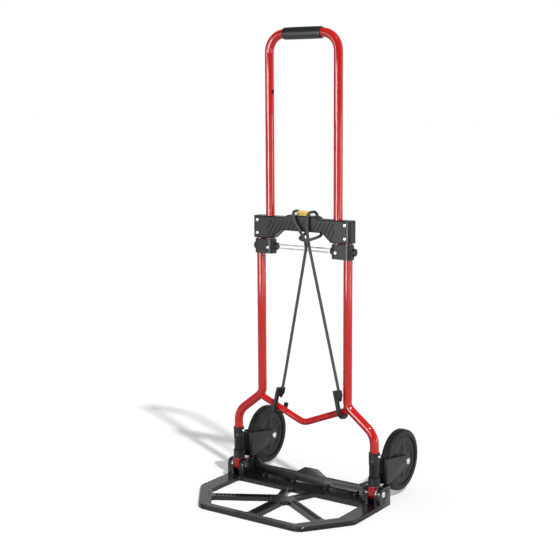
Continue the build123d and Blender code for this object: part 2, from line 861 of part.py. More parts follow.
# Forks: a sleeve on the post, a crown behind it and two arms to the axle
def fork():
    body = rod_up(sleeve_bottom, sleeve_step, post_half, sleeve_waist_od / 2)
    body += rod_up(sleeve_step, sleeve_top, post_half, sleeve_od / 2)
    neck = fork_neck / 2
    body += block(
        (post_half - neck, 0, sleeve_bottom + fork_neck_margin),
        (post_half + neck, fork_front + fork_crown / 2, fork_top - fork_neck_margin),
    )
    arm = [
        (fork_front, fork_bottom),
        (fork_front + fork_heel, fork_bottom),
        (wheel_setback, axle_height - fork_end_radius),
        (wheel_setback, axle_height + fork_end_radius),
        (fork_front, fork_top),
    ]
    shell = sideways(arm, post_half - arm_outer, post_half + arm_outer)
    shell += rod_across(
        post_half - arm_outer, post_half + arm_outer, wheel_setback, axle_height, fork_end_radius
    )
    front_edges = [e for e in shell.edges().filter_by(Axis.Z) if abs(e.center().Y - fork_front) < same_place]
    shell = fillet(front_edges, fork_front_round)
    shell -= block(
        (post_half - arm_inner, fork_front + fork_crown, 0),
        (post_half + arm_inner, 2 * wheel_setback, 2 * fork_top),
    )
    body += shell
    body -= rod_up(0, 2 * fork_top, post_half, spindle_radius + running_gap)
    return body - rod_across(0, 2 * post_half, wheel_setback, axle_height, axle_radius + seat_gap)


both("fork", fork())


# Wheels: tyre, hub with shallow pockets and bush, on an axle bolt with a head and a nut
def at_axle(shape):
    """Turns a shape made about Z to lie along X at the right wheel's centre."""
    return Pos(post_half, wheel_setback, axle_height) * Rot(0, 90, 0) * shape


def ring_about_z(outer_radius, inner_radius, width):
    return extrude(Circle(outer_radius) - Circle(inner_radius), amount=width / 2, both=True)


tyre_inner = wheel_radius - tyre_depth
tyre = ring_about_z(wheel_radius, tyre_inner, wheel_width)
tyre_rims = [e for e in tyre.edges().filter_by(GeomType.CIRCLE) if abs(e.radius - wheel_radius) < same_place]
both("tyre", at_axle(fillet(tyre_rims, tyre_shoulder)))


def hub_pocket():
    """The outline of a pocket between two spokes, about its own middle line."""
    half_turn = math.pi / spoke_count
    apex = spoke_width / 2 / math.sin(half_turn)
    inner_half = (hub_pocket_inner - apex) * math.tan(half_turn)
    outer_half = (hub_pocket_outer - apex) * math.tan(half_turn)
    corners = [
        (hub_pocket_inner, -inner_half),
        (hub_pocket_outer, -outer_half),
        (hub_pocket_outer, outer_half),
        (hub_pocket_inner, inner_half),
    ]
    face = make_face(Polyline(*corners, close=True))
    return fillet(face.vertices(), hub_pocket_corner)


def wheel_hub():
    bush_outer = axle_radius + running_gap + bush_wall
    hub = ring_about_z(tyre_inner - seat_gap, bush_outer + seat_gap, rim_width)
    hub += ring_about_z(hub_radius, bush_outer + seat_gap, wheel_width)
    pocket = extrude(hub_pocket(), amount=hub_pocket_depth + cut_past)
    for index in range(spoke_count):
        turned = Rot(0, 0, (index + 0.5) * 360 / spoke_count) * pocket
        hub -= Pos(0, 0, rim_width / 2 - hub_pocket_depth) * turned
        hub -= Pos(0, 0, -rim_width / 2 - cut_past) * turned
    return hub


both("wheel_hub", at_axle(wheel_hub()))
bush_length = 2 * (arm_inner - side_gap)
bush_bore = axle_radius + running_gap
both("wheel_bush", at_axle(ring_about_z(bush_bore + bush_wall, bush_bore, bush_length)))


def axle_bolt():
    start = post_half + arm_outer
    bolt = screw(
        (start, wheel_setback, axle_height),
        (-1, 0, 0),
        2 * arm_outer,
        axle_radius,
        axle_head_radius,
        axle_head_height,
    )
    nut = extrude(RegularPolygon(axle_head_radius, nut_sides), amount=axle_head_height / 2, both=True)
    nut_place = post_half - arm_outer - axle_head_height / 2
    return bolt + Pos(nut_place, wheel_setback, axle_height) * Rot(0, 90, 0) * nut


right_axle_bolt = axle_bolt()
pieces["right_axle_bolt"] = right_axle_bolt
pieces["left_axle_bolt"] = Pos(-2 * post_half, 0, 0) * right_axle_bolt


# Bungee hooks: each hangs round the cross tube from below, in line with the cord's pull
def hook_plane(place, lean, twist):
    """A plane through the cross tube at X = place: its y axis along the pull, its x axis to the rear."""
    lean = math.radians(lean)
    twist = math.radians(twist)
    rear = Vector(0, 1, 0)
    across = Vector(math.cos(lean), 0, -math.sin(lean))
    x_dir = rear * math.cos(twist) + across * math.sin(twist)
    z_dir = across * math.cos(twist) - rear * math.sin(twist)
    height = cross_tube_low + abs(place) * cross_tube_slope
    return Plane(origin=(place, 0, height), x_dir=x_dir, z_dir=z_dir)


def hook_lift(place, plane):
    """How far the bend's centre stands above the cross tube's axis when the tube lies in the bend."""
    along = Vector(1, 0, math.copysign(cross_tube_slope, place)).normalized()
    skew = [along.dot(axis) for axis in (plane.x_dir, plane.y_dir, plane.z_dir)]
    slant = math.atan2(skew[1], skew[0])
    short = cross_tube_od / 2
    long = short / abs(skew[2])
    room = hook_inner - hook_gap
    lift = room
    for face in (-hook_width / 2, hook_width / 2):
        for step in range(hook_seat_steps):
            angle = 2 * math.pi * step / hook_seat_steps
            u, v = long * math.cos(angle), short * math.sin(angle)
            x = face * skew[0] / skew[2] + u * math.cos(slant) - v * math.sin(slant)
            y = face * skew[1] / skew[2] + u * math.sin(slant) + v * math.cos(slant)
            if y < 0:
                lift = min(lift, y + math.sqrt(max(room**2 - x**2, 0)))
    return lift


def soft_plate(plane, outline):
    """An outline on a plane, given the hook's width and soft edges."""
    plate = extrude(plane * outline, amount=hook_width / 2, both=True)
    sides = [f for f in plate.faces() if abs(f.normal_at().dot(plane.z_dir)) > 1 - same_place]
    return fillet([e for f in sides for e in f.edges()], hook_round)


def bungee_hook(place, lean, twist, head_turn):
    """A hook round the cross tube, whose head reaches from its shank to the cord, turned about the shank."""
    level = hook_plane(place, lean, twist)
    plane = Plane(level.from_local_coords((0, hook_lift(place, level), 0)), level.x_dir, level.z_dir)
    half = hook_thickness / 2
    outer = hook_inner + hook_thickness
    top = hook_shank + hook_head_height
    bend = Circle(outer) - Circle(hook_inner) - Pos(0, outer) * Rectangle(4 * outer, 2 * outer)
    tail = Pos(hook_inner + half, hook_tail / 2) * Rectangle(hook_thickness, hook_tail)
    shank = Pos(-hook_inner - half, top / 2) * Rectangle(hook_thickness, top)
    head = make_face(
        Polyline(
            (-half, hook_shank),
            (-half, top),
            (hook_reach + hook_head_past, top),
            (hook_reach + hook_head_past, top - hook_head_cheek),
            (hook_reach, top - hook_head_tip),
            (half, hook_shank),
            close=True,
        )
    )
    turn = math.radians(head_turn)
    head_way = plane.x_dir * math.cos(turn) + plane.z_dir * math.sin(turn)
    way = plane.y_dir
    head_plane = Plane(plane.from_local_coords((-hook_inner - half, 0, 0)), head_way, head_way.cross(way))
    hook = soft_plate(plane, bend + tail + shank) + soft_plate(head_plane, head)
    end = head_plane.from_local_coords((hook_reach, top, 0))
    seat = end - way * hook_socket
    hook -= rod(tuple(seat), tuple(end + way), cord_radius + seat_gap)
    return hook, seat, way


left_hook, left_cord_end, left_way = bungee_hook(
    left_hook_place, left_hook_lean, left_hook_twist, left_head_turn
)
right_hook, right_cord_end, right_way = bungee_hook(
    right_hook_place, right_hook_lean, right_hook_twist, right_head_turn
)
pieces["left_bungee_hook"] = left_hook
pieces["right_bungee_hook"] = right_hook
left_lead = left_cord_end + left_way * (hook_socket + cord_lead)
right_lead = right_cord_end + right_way * (hook_socket + cord_lead)

# Bungee cord: up from the left hook, hitched round the crosshead beside the button, and down
# to the right hook. Its bends are as wide as the runs between its points allow.
cord_points = [
    tuple(left_cord_end),
    tuple(left_lead),
    (17.0, -20.6, 548.0),
    (22.5, -21.6, 574.0),
    (6.0, -21.4, 600.0),
    (-9.0, -21.4, 621.0),
    (-14.5, -19.8, 634.0),
    (-18.6, -12.5, 642.3),
    (-20.9, 0.5, 643.4),
    (-20.4, 13.0, 642.3),
    (-17.5, 20.4, 632.0),
    (-9.0, 20.8, 607.0),
    (-2.5, 14.5, 593.4),
    (1.5, -4.5, 590.4),
    (3.0, -18.5, 587.5),
    (9.0, -28.2, 585.0),
    (23.5, -31.2, 583.6),
    (36.5, -28.0, 585.6),
    (43.5, -18.0, 589.0),
    (45.5, -4.5, 591.0),
    (38.5, 14.5, 593.4),
    (29.0, 20.8, 607.0),
    (24.5, 20.4, 632.0),
    (23.2, 13.0, 642.3),
    (23.3, -0.5, 643.4),
    (23.2, -12.5, 642.3),
    (22.8, -19.8, 634.0),
    (22.4, -21.4, 610.0),
    (27.5, -21.8, 575.0),
    (34.5, -21.4, 546.0),
    tuple(right_lead),
    tuple(right_cord_end),
]


def bend_radii(points):
    """The radius at each inner point: a share of the shorter run over the tangent of half the turn."""
    radii = []
    for before, here, after in zip(points, points[1:], points[2:]):
        first = Vector(*here) - Vector(*before)
        second = Vector(*after) - Vector(*here)
        half_turn = math.radians(first.get_angle(second)) / 2
        radii.append(bend_share * min(first.length, second.length) / math.tan(half_turn))
    return radii


cord_radii = bend_radii(cord_points)
cord_path = FilletPolyline(*cord_points, radius=cord_radii)
bungee_cord = pipe(cord_path, cord_radius)
pieces["bungee_cord"] = bungee_cord
print("cord radii", [round(r, 1) for r in cord_radii])
print("cord length", round(cord_path.length, 1), "volume ratio", bungee_cord.volume / cord_path.length)
print("cord section", math.pi * cord_radius**2)
print("cord points", [tuple(round(v, 2) for v in p) for p in cord_points])

# Every piece is moved so that the origin is under the middle of the truck, and written out
os.makedirs("parts", exist_ok=True)
for name, piece in pieces.items():
    export_step(Pos(0, tube_plane, 0) * piece, f"parts/{name}.step")
print(len(pieces), "pieces, tube plane at", tube_plane)
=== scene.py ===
# %% [markdown]
# # A folding hand truck
# This lesson dresses a CAD model of a folding hand truck: red tubes, black mouldings, a yellow button,
# two wheels and a bungee cord. The CAD model is loaded first as a fixed frame. It already has the right
# sizes and joints, so nothing here moves it: each new piece is built in the same metres and rides on a body.

# %% Load the frame
import json
import math

import bmesh
import bpy
from mathutils import Matrix, Vector


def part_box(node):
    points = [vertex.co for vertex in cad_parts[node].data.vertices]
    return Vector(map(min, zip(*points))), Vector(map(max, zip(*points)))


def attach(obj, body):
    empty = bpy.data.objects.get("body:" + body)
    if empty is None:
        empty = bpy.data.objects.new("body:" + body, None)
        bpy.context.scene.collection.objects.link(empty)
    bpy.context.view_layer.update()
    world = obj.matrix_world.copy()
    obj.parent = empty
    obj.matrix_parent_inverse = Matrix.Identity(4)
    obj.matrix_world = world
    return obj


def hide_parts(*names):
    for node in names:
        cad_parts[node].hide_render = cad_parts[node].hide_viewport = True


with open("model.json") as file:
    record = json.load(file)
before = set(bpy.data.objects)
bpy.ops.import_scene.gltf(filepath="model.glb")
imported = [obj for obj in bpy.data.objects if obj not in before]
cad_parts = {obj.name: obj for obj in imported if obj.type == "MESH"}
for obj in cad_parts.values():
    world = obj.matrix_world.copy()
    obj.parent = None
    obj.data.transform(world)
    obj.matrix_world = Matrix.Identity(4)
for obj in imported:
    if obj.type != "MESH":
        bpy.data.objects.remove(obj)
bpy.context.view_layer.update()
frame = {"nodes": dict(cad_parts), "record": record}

millimetre = 0.001
tube_plane = 19.85 * millimetre
side_signs = {"left": -1, "right": 1}
full_turn = 2 * math.pi

# %% [markdown]
# ## The camera
# The photograph was taken from the right and a little above, with a long lens. A camera is placed as on a
# tripod: its position, its turn about the vertical, its tilt up from straight down, and last a slight roll.

# %% Camera
camera_place = (1.43816, -2.13998, 0.90455)
camera_turn = math.radians(34.823)
camera_tilt = math.radians(80.928)
camera_roll = math.radians(-0.31)
camera_lens = 75.91
turning = Matrix.Rotation(camera_turn, 3, "Z") @ Matrix.Rotation(camera_tilt, 3, "X")
turning = turning @ Matrix.Rotation(camera_roll, 3, "Z")
bpy.ops.object.camera_add(location=camera_place, rotation=turning.to_euler())
camera = bpy.context.object
camera.data.lens = camera_lens
bpy.context.scene.camera = camera
print("camera at", camera_place)

# %% [markdown]
# ## Working by operators
# Blender's operators act on whatever is selected, so each step starts from an empty selection. Faces and
# edges are then chosen in code by their place or normal, which is what a hand would do with the mouse.


# %% Selecting
def clear_selection():
    if bpy.context.object and bpy.context.object.mode != "OBJECT":
        bpy.ops.object.mode_set(mode="OBJECT")
    bpy.ops.object.select_all(action="DESELECT")


def choose(piece):
    clear_selection()
    piece.select_set(True)
    bpy.context.view_layer.objects.active = piece


def pick_faces(piece, wanted):
    """Opens a piece in edit mode and selects the faces for which wanted(centre, normal) is true."""
    choose(piece)
    bpy.ops.object.mode_set(mode="EDIT")
    bpy.ops.mesh.select_mode(type="FACE")
    bpy.ops.mesh.select_all(action="DESELECT")
    shape = bmesh.from_edit_mesh(piece.data)
    for face in shape.faces:
        face.select_set(bool(wanted(face.calc_center_median(), face.normal)))
    bmesh.update_edit_mesh(piece.data)


def pick_edges(piece, wanted):
    """Opens a piece in edit mode and selects the edges for which wanted(first end, second end) is true."""
    choose(piece)
    bpy.ops.object.mode_set(mode="EDIT")
    bpy.ops.mesh.select_mode(type="EDGE")
    bpy.ops.mesh.select_all(action="DESELECT")
    shape = bmesh.from_edit_mesh(piece.data)
    for edge in shape.edges:
        edge.select_set(bool(wanted(edge.verts[0].co, edge.verts[1].co)))
    bmesh.update_edit_mesh(piece.data)


# %% [markdown]
# A modifier is applied as soon as it is added, so that a finished piece is a plain mesh. A finished piece
# also sits at the origin, unturned and unscaled, takes its finish, and rides on a body of the frame.


# %% Finishing a piece
smooth_angle = math.radians(35)


def apply_modifier(piece, kind, **settings):
    choose(piece)
    modifier = piece.modifiers.new(kind.title(), kind)
    for key, value in settings.items():
        setattr(modifier, key, value)
    bpy.ops.object.modifier_apply(modifier=modifier.name)


def join(pieces):
    """Joins pieces into the first of them."""
    clear_selection()
    for piece in pieces:
        piece.select_set(True)
    bpy.context.view_layer.objects.active = pieces[0]
    if len(pieces) > 1:
        bpy.ops.object.join()
    return pieces[0]


def copy_of(piece, matrix):
    """A copy with its own mesh, moved by a matrix."""
    copied = bpy.data.objects.new(piece.name, piece.data.copy())
    bpy.context.collection.objects.link(copied)
    copied.data.transform(matrix)
    if matrix.determinant() < 0:
        copied.data.flip_normals()
    return copied


def apply_place(piece):
    choose(piece)
    bpy.ops.object.transform_apply(location=True, rotation=True, scale=True)


def settle(piece, name, body, finish, replaced=()):
    """Names a piece, gives it its finish and hangs it on its body, in place of some CAD nodes."""
    apply_place(piece)
    bpy.ops.object.shade_smooth_by_angle(angle=smooth_angle)
    piece.name = name
    piece.data.name = name
    piece.data.materials.clear()
    piece.data.materials.append(finish)
    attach(piece, body)
    if replaced:
        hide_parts(*replaced)
    print(name, "has", len(piece.data.polygons), "faces and rides on", body)
    return piece


# %% [markdown]
# ## Finishes as Python maths
# A material is a graph of nodes. Writing it node by node is long, so one small class wraps a socket: adding
# or multiplying two of them adds a Math node, and any other node comes from its `node` method.


# %% Socket maths
class Wire:
    """An output socket of a finish, on which Python maths adds Math nodes."""

    def __init__(self, tree, socket):
        self.tree = tree
        self.socket = socket

    def node(self, kind, settings=None, inputs=None, output=0):
        """Adds a node: its settings first, then the values or links of its sockets."""
        made = self.tree.nodes.new("ShaderNode" + kind)
        for key, value in (settings or {}).items():
            if key == "stops":
                set_stops(made.color_ramp, value)
            else:
                setattr(made, key, value)
        for key, value in (inputs or {}).items():
            plug(self.tree, made.inputs[key], value)
        return Wire(self.tree, made.outputs[output])

    def maths(self, operation, first, second=0.0):
        return self.node("Math", {"operation": operation}, {0: first, 1: second})

    def __add__(self, other):
        return self.maths("ADD", self, other)

    def __sub__(self, other):
        return self.maths("SUBTRACT", self, other)

    def __rsub__(self, other):
        return self.maths("SUBTRACT", other, self)

    def __mul__(self, other):
        return self.maths("MULTIPLY", self, other)

    __radd__ = __add__
    __rmul__ = __mul__


def plug(tree, socket, value):
    if isinstance(value, Wire):
        tree.links.new(value.socket, socket)
    else:
        socket.default_value = value


def set_stops(ramp, stops):
    """Sets a colour ramp's stops, each a place and a grey level."""
    while len(ramp.elements) < len(stops):
        ramp.elements.new(1.0)
    for element, (place, level) in zip(ramp.elements, stops):
        element.position = place
        element.color = (level, level, level, 1.0)


# %% [markdown]
# Every finish starts the same way: a new material, its main shader, and the object's own coordinates, in
# metres. A pattern with scale 1000 on them has features of about a millimetre.


# %% Starting a finish
def start_finish(name):
    material = bpy.data.materials.new(name)
    material.use_nodes = True
    tree = material.node_tree
    coordinates = tree.nodes.new("ShaderNodeTexCoord")
    return material, Wire(tree, coordinates.outputs["Object"])


def set_shader(material, **sockets):
    """Sets or links sockets of the main shader, named with _ for a space."""
    shader = material.node_tree.nodes["Principled BSDF"]
    for key, value in sockets.items():
        plug(material.node_tree, shader.inputs[key.replace("_", " ")], value)


def noise(place, scale, detail=2.0):
    return place.node("TexNoise", {}, {"Vector": place, "Scale": scale, "Detail": detail})


def steps(wire, *stops):
    """Passes a value through a ramp."""
    return wire.node("ValToRGB", {"stops": stops}, {0: wire})


def mix(factor, first, second):
    """A colour between two, each written as red, green and blue."""
    colours = {0: factor, 6: (*first, 1.0), 7: (*second, 1.0)}
    return factor.node("Mix", {"data_type": "RGBA"}, colours, output=2)


def bump(height, depth, strength):
    """A bumped normal, from a height between 0 and 1 and the depth in mm that it stands for."""
    sockets = {"Strength": strength, "Distance": depth * millimetre, "Height": height}
    return height.node("Bump", {}, sockets)


def from_signed(wire):
    """Moves a value from between -1 and 1 to between 0 and 1."""
    return wire * 0.5 + 0.5


# %% [markdown]
# ## The finishes
# The tubes are powder coated in a bright red: an even colour, a gloss, and the faint orange peel that a
# baked coat has. A picture of paint would stretch round the bends, so noise in the object's own coordinates
# is used. Colour varies by a few parts in a hundred, because no real coat is perfectly even.


# %% Red paint
def make_red_paint():
    material, place = start_finish("red_paint")
    deep_red = (0.56, 0.0075, 0.0065)
    bright_red = (0.64, 0.013, 0.011)
    lowest_roughness = 0.05
    patches = noise(place, scale=14.0)
    peel = noise(place, scale=260.0, detail=1.0)
    specks = steps(noise(place, scale=1600.0, detail=0.0), (0.72, 0.0), (0.80, 1.0))
    set_shader(
        material,
        Base_Color=mix(patches, deep_red, bright_red),
        Roughness=lowest_roughness + patches * 0.03 + specks * 0.04,
        Normal=bump(peel, depth=0.02, strength=0.08),
    )
    return material


red_paint = make_red_paint()
print("finish", red_paint.name)

# %% [markdown]
# Black mouldings share one recipe: a very dark colour, a fine spark-eroded grain in the bump, cloudy gloss,
# and pale scuffs here and there. One function makes them all, because they differ only in colour, gloss,
# grain and wear. A painted picture could show one real part better, but it would fit no other part.


# %% Moulded plastics
def make_moulding(name, dark, light, roughness, grain, scuffing=0.25, depth=0.05, shine=0.3):
    """roughness is the lowest one, grain the number of grains in a metre, and depth theirs in mm."""
    material, place = start_finish(name)
    cloud = noise(place, scale=24.0, detail=3.0)
    grains = noise(place, scale=grain, detail=1.0)
    stretched = place.node("Mapping", {}, {"Vector": place, "Scale": (1.0, 1.0, 0.25)})
    scratches = steps(noise(stretched, scale=320.0, detail=4.0), (0.60, 0.0), (0.74, 1.0))
    scuffs = scratches * steps(cloud, (0.5, 0.0), (0.7, 1.0))
    tone = cloud * 0.6 + scuffs * scuffing
    set_shader(
        material,
        Base_Color=mix(tone, dark, light),
        Roughness=roughness + cloud * 0.12 + grains * 0.06 - scuffs * 0.05,
        Normal=bump(grains, depth, strength=0.5),
        Specular_IOR_Level=shine,
    )
    return material


black_plastic = make_moulding(
    "black_plastic",
    dark=(0.006, 0.006, 0.007),
    light=(0.015, 0.015, 0.016),
    roughness=0.27,
    grain=1500.0,
    shine=0.36,
)
plate_plastic = make_moulding(
    "plate_plastic",
    dark=(0.005, 0.005, 0.006),
    light=(0.016, 0.016, 0.017),
    roughness=0.13,
    grain=1100.0,
    scuffing=0.5,
    depth=0.03,
    shine=0.5,
)
# Pale grey for the anti-slip bars: partly real wear, partly a painted highlight that stands in for glints on
# them.
glint_and_wear_plastic = make_moulding(
    "glint_and_wear_plastic",
    dark=(0.05, 0.05, 0.052),
    light=(0.26, 0.26, 0.265),
    roughness=0.16,
    grain=1100.0,
    scuffing=0.9,
)
wheel_plastic = make_moulding(
    "wheel_plastic",
    dark=(0.006, 0.006, 0.007),
    light=(0.014, 0.014, 0.015),
    roughness=0.36,
    grain=1300.0,
)
tyre_rubber = make_moulding(
    "tyre_rubber",
    dark=(0.009, 0.009, 0.010),
    light=(0.022, 0.022, 0.023),
    roughness=0.45,
    grain=900.0,
    scuffing=0.4,
    depth=0.08,
)
grip_foam = make_moulding(
    "grip_foam",
    dark=(0.007, 0.007, 0.008),
    light=(0.014, 0.014, 0.016),
    roughness=0.34,
    grain=2200.0,
    scuffing=0.1,
    depth=0.03,
    shine=0.5,
)
red_plastic = make_moulding(
    "red_plastic",
    dark=(0.46, 0.008, 0.010),
    light=(0.54, 0.014, 0.014),
    roughness=0.28,
    grain=1500.0,
    scuffing=0.1,
)
yellow_plastic = make_moulding(
    "yellow_plastic",
    dark=(0.90, 0.64, 0.100),
    light=(0.95, 0.72, 0.150),
    roughness=0.26,
    grain=1500.0,
    scuffing=0.1,
)
bush_plastic = make_moulding(
    "bush_plastic",
    dark=(0.50, 0.50, 0.47),
    light=(0.58, 0.58, 0.55),
    roughness=0.40,
    grain=1500.0,
    scuffing=0.1,
)
black_steel = make_moulding(
    "black_steel",
    dark=(0.010, 0.010, 0.011),
    light=(0.030, 0.030, 0.032),
    roughness=0.22,
    grain=1800.0,
    scuffing=0.6,
    depth=0.02,
)
print("mouldings ready")

# %% [markdown]
# Screws and bolts are bright plated steel, and the parts inside are plain turned steel. Both are metals,
# so the colour is the colour of the reflection. Fine turning lines run round or along the metal. They are too
# fine to model, so a wave pattern draws them in the bump.


# %% Steels
def make_steel(name, dark, light, roughness, depth):
    """roughness is the lowest one, and depth that of the turning lines in mm."""
    material, place = start_finish(name)
    cloud = noise(place, scale=60.0)
    pattern = {"Vector": place, "Scale": 700.0, "Distortion": 3.0}
    lines = place.node("TexWave", {"wave_type": "RINGS"}, pattern)
    set_shader(
        material,
        Base_Color=mix(cloud, dark, light),
        Metallic=1.0,
        Roughness=roughness + cloud * 0.12,
        Normal=bump(lines, depth, strength=0.3),
    )
    return material


bright_steel = make_steel(
    "bright_steel",
    dark=(0.72, 0.72, 0.73),
    light=(0.86, 0.86, 0.87),
    roughness=0.14,
    depth=0.01,
)
plain_steel = make_steel(
    "plain_steel",
    dark=(0.42, 0.42, 0.43),
    light=(0.58, 0.58, 0.59),
    roughness=0.28,
    depth=0.02,
)
print("steels ready")

# %% [markdown]
# The bungee cord has a woven sheath. Its pattern has to follow the cord, so it reads the cord's own UV map,
# in which one direction runs round the cord and the other along it in metres. Two sets of slanting bands
# cross, and where one passes over the other the sheath stands a little higher.


# %% Cord cover
strand_count = 8.0
strand_pitch = 9.0 * millimetre


def make_cord_cover():
    material, place = start_finish("cord_cover")
    surface = place.node("UVMap", {"uv_map": "UVMap"})
    along = surface.node("SeparateXYZ", {}, {0: surface}, output=0) * (1.0 / strand_pitch)
    around = surface.node("SeparateXYZ", {}, {0: surface}, output=1) * strand_count
    one_way = place.maths("SINE", (around + along) * full_turn)
    other_way = place.maths("SINE", (around - along) * full_turn)
    weave = from_signed(one_way * other_way)
    fibres = noise(place, scale=2600.0)
    dark_strand = (0.026, 0.026, 0.027)
    light_strand = (0.090, 0.090, 0.092)
    lowest_roughness = 0.62
    set_shader(
        material,
        Base_Color=mix(weave * 0.6 + fibres * 0.4, dark_strand, light_strand),
        Roughness=lowest_roughness + fibres * 0.2,
        Normal=bump(weave * 0.8 + fibres * 0.2, depth=0.35, strength=0.8),
    )
    return material


cord_cover = make_cord_cover()
print("cord sheath of", strand_count, "strands each way")

# %% [markdown]
# ## The bungee cord
# The cord comes up from the left hook, is hitched round the crosshead beside the button, and goes down to
# the right hook. Its route is a short list of points, the same as in the CAD model, and the cord
# follows them on one smooth spline, where a row of cylinders would show a kink at every joint. On the two
# long straight stretches, a point is added near each end.

# %% Cord route
cord_diameter = 6.6 * millimetre
spline_order = 3
points_per_span = 8
cord_route_mm = [
    (-57.57, -3.94, 229.74),
    (-52.33, -3.94, 251.1),
    (-43.2, -6.1, 290.0),
    (11.0, -19.2, 522.1),
    (17.0, -20.6, 548.0),
    (22.5, -21.6, 574.0),
    (6.0, -21.4, 600.0),
    (-9.0, -21.4, 621.0),
    (-14.5, -19.8, 634.0),
    (-18.6, -12.5, 642.3),
    (-20.9, 0.5, 643.4),
    (-20.4, 13.0, 642.3),
    (-17.5, 20.4, 632.0),
    (-9.0, 20.8, 607.0),
    (-2.5, 14.5, 593.4),
    (1.5, -4.5, 590.4),
    (3.0, -18.5, 587.5),
    (9.0, -28.2, 585.0),
    (23.5, -31.2, 583.6),
    (36.5, -28.0, 585.6),
    (43.5, -18.0, 589.0),
    (45.5, -4.5, 591.0),
    (38.5, 14.5, 593.4),
    (29.0, 20.8, 607.0),
    (24.5, 20.4, 632.0),
    (23.2, 13.0, 642.3),
    (23.3, -0.5, 643.4),
    (23.2, -12.5, 642.3),
    (22.8, -19.8, 634.0),
    (22.4, -21.4, 610.0),
    (27.5, -21.8, 575.0),
    (34.5, -21.4, 546.0),
    (41.3, -20.9, 517.0),
    (90.0, -17.3, 308.1),
    (99.06, -16.59, 269.14),
    (104.01, -16.59, 247.7),
]


def in_place(point):
    """A point in mm, with Y from the plane of the tubes, as a place in the frame in metres."""
    return Vector(point) * millimetre + Vector((0, tube_plane, 0))


def make_route(points):
    """A smooth open curve with the points as its control points."""
    line = bpy.data.curves.new("bungee_cord_line", "CURVE")
    line.dimensions = "3D"
    spline = line.splines.new("NURBS")
    spline.points.add(len(points) - 1)
    for control, point in zip(spline.points, points):
        control.co = (*point, 1.0)
    spline.order_u = spline_order
    spline.use_endpoint_u = True
    line.resolution_u = points_per_span
    route = bpy.data.objects.new("bungee_sheath", line)
    bpy.context.collection.objects.link(route)
    return route


cord_route = [in_place(point) for point in cord_route_mm]
cord = make_route(cord_route)
bare_line = bpy.data.meshes.new_from_object(cord)
cord_line = [corner.co.copy() for corner in bare_line.vertices]
cord_reach = [0.0]
for start, end in zip(cord_line, cord_line[1:]):
    cord_reach.append(cord_reach[-1] + (end - start).length)

# %% [markdown]
# Giving the curve a bevel makes it a tube with a UV map, whose first direction counts the points along it.
# Swapping that count for the length walked so far makes the weave even along the whole cord.

# %% Cord tube
cord_roundness = 4
cord.data.bevel_depth = cord_diameter / 2
cord.data.bevel_resolution = cord_roundness
cord.data.use_fill_caps = True
choose(cord)
bpy.ops.object.convert(target="MESH")
cord = bpy.context.object
last_point = len(cord_line) - 1
for corner in cord.data.uv_layers[0].data:
    point = min(max(round(corner.uv[0] * last_point), 0), last_point)
    corner.uv[0] = cord_reach[point]
settle(cord, "bungee_sheath", "frame", cord_cover, ["bungee_cord"])

# %% [markdown]
# ## The grip
# The foam grip is a thick sleeve, a little fuller in the middle than at its soft ends. It is the same all
# round, so only its cut section is drawn: a ring of points is moved to the section's places, and spinning
# the ring about the handle's bar makes the sleeve. Merging the seam and turning the faces out closes it.


# %% Spinning a section
merge_distance = 0.01 * millimetre


def spin_section(section, centre, segments, angle=full_turn):
    """Spins a closed section about a line along X through centre.

    Each point of the section is a place along X and a radius, in mm."""
    clear_selection()
    bpy.ops.mesh.primitive_circle_add(vertices=len(section), fill_type="NOTHING")
    piece = bpy.context.object
    for corner, (along, radius) in zip(piece.data.vertices, section):
        corner.co = Vector(centre) + Vector((along, 0.0, radius)) * millimetre
    bpy.ops.object.mode_set(mode="EDIT")
    bpy.ops.mesh.select_all(action="SELECT")
    bpy.ops.mesh.spin(steps=segments, angle=angle, center=centre, axis=(1, 0, 0))
    return piece


def close_seams(piece):
    """Merges the points that meet and turns all faces outwards."""
    choose(piece)
    bpy.ops.object.mode_set(mode="EDIT")
    bpy.ops.mesh.select_all(action="SELECT")
    bpy.ops.mesh.remove_doubles(threshold=merge_distance)
    bpy.ops.mesh.normals_make_consistent(inside=False)
    bpy.ops.object.mode_set(mode="OBJECT")


def both_ends(half_section):
    """A section and its mirror image, joined into one loop."""
    return half_section + [(-along, radius) for along, radius in reversed(half_section)]


def centre_of(node_name):
    low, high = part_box(node_name)
    return (Vector(low) + Vector(high)) / 2


# %% [markdown]
# The grip's section is drawn for one half only, from the bore at its end to the full middle, because the
# other half mirrors it. Its middle is read from the CAD node that it stands in for.

# %% Grip sleeve
grip_segments = 56
grip_half = [
    (49.0, 10.05),
    (49.0, 11.7),
    (48.5, 12.5),
    (47.2, 13.0),
    (43.0, 13.2),
    (30.0, 13.4),
    (10.0, 13.5),
]
grip = spin_section(both_ends(grip_half), centre_of("handle_grip"), grip_segments)
close_seams(grip)
settle(grip, "grip_sleeve", "handle", grip_foam, ["handle_grip"])

# %% [markdown]
# ## The tyres
# A tyre is round too, but its tread repeats: a low knob, then a gap. One short sector is spun, the tread
# faces of most of it are extruded outwards as a knob, and the sector is then spun again as duplicates to fill
# the circle. A bump could draw the knobs but would leave the outline smooth, so they are modelled. A fine
# groove rings each side wall.

# %% One tyre
tread_count = 64
sector_segments = 3
knob_segments = 2
knob_height = 0.6
tread_radius = 67.0
tyre_half = [
    (12.0, 55.05),
    (12.0, 57.0),
    (11.3, 57.5),
    (11.3, 58.3),
    (12.0, 58.8),
    (12.0, 62.6),
    (11.5, 65.2),
    (10.2, 67.3),
    (8.0, 68.7),
    (3.0, 69.3),
]


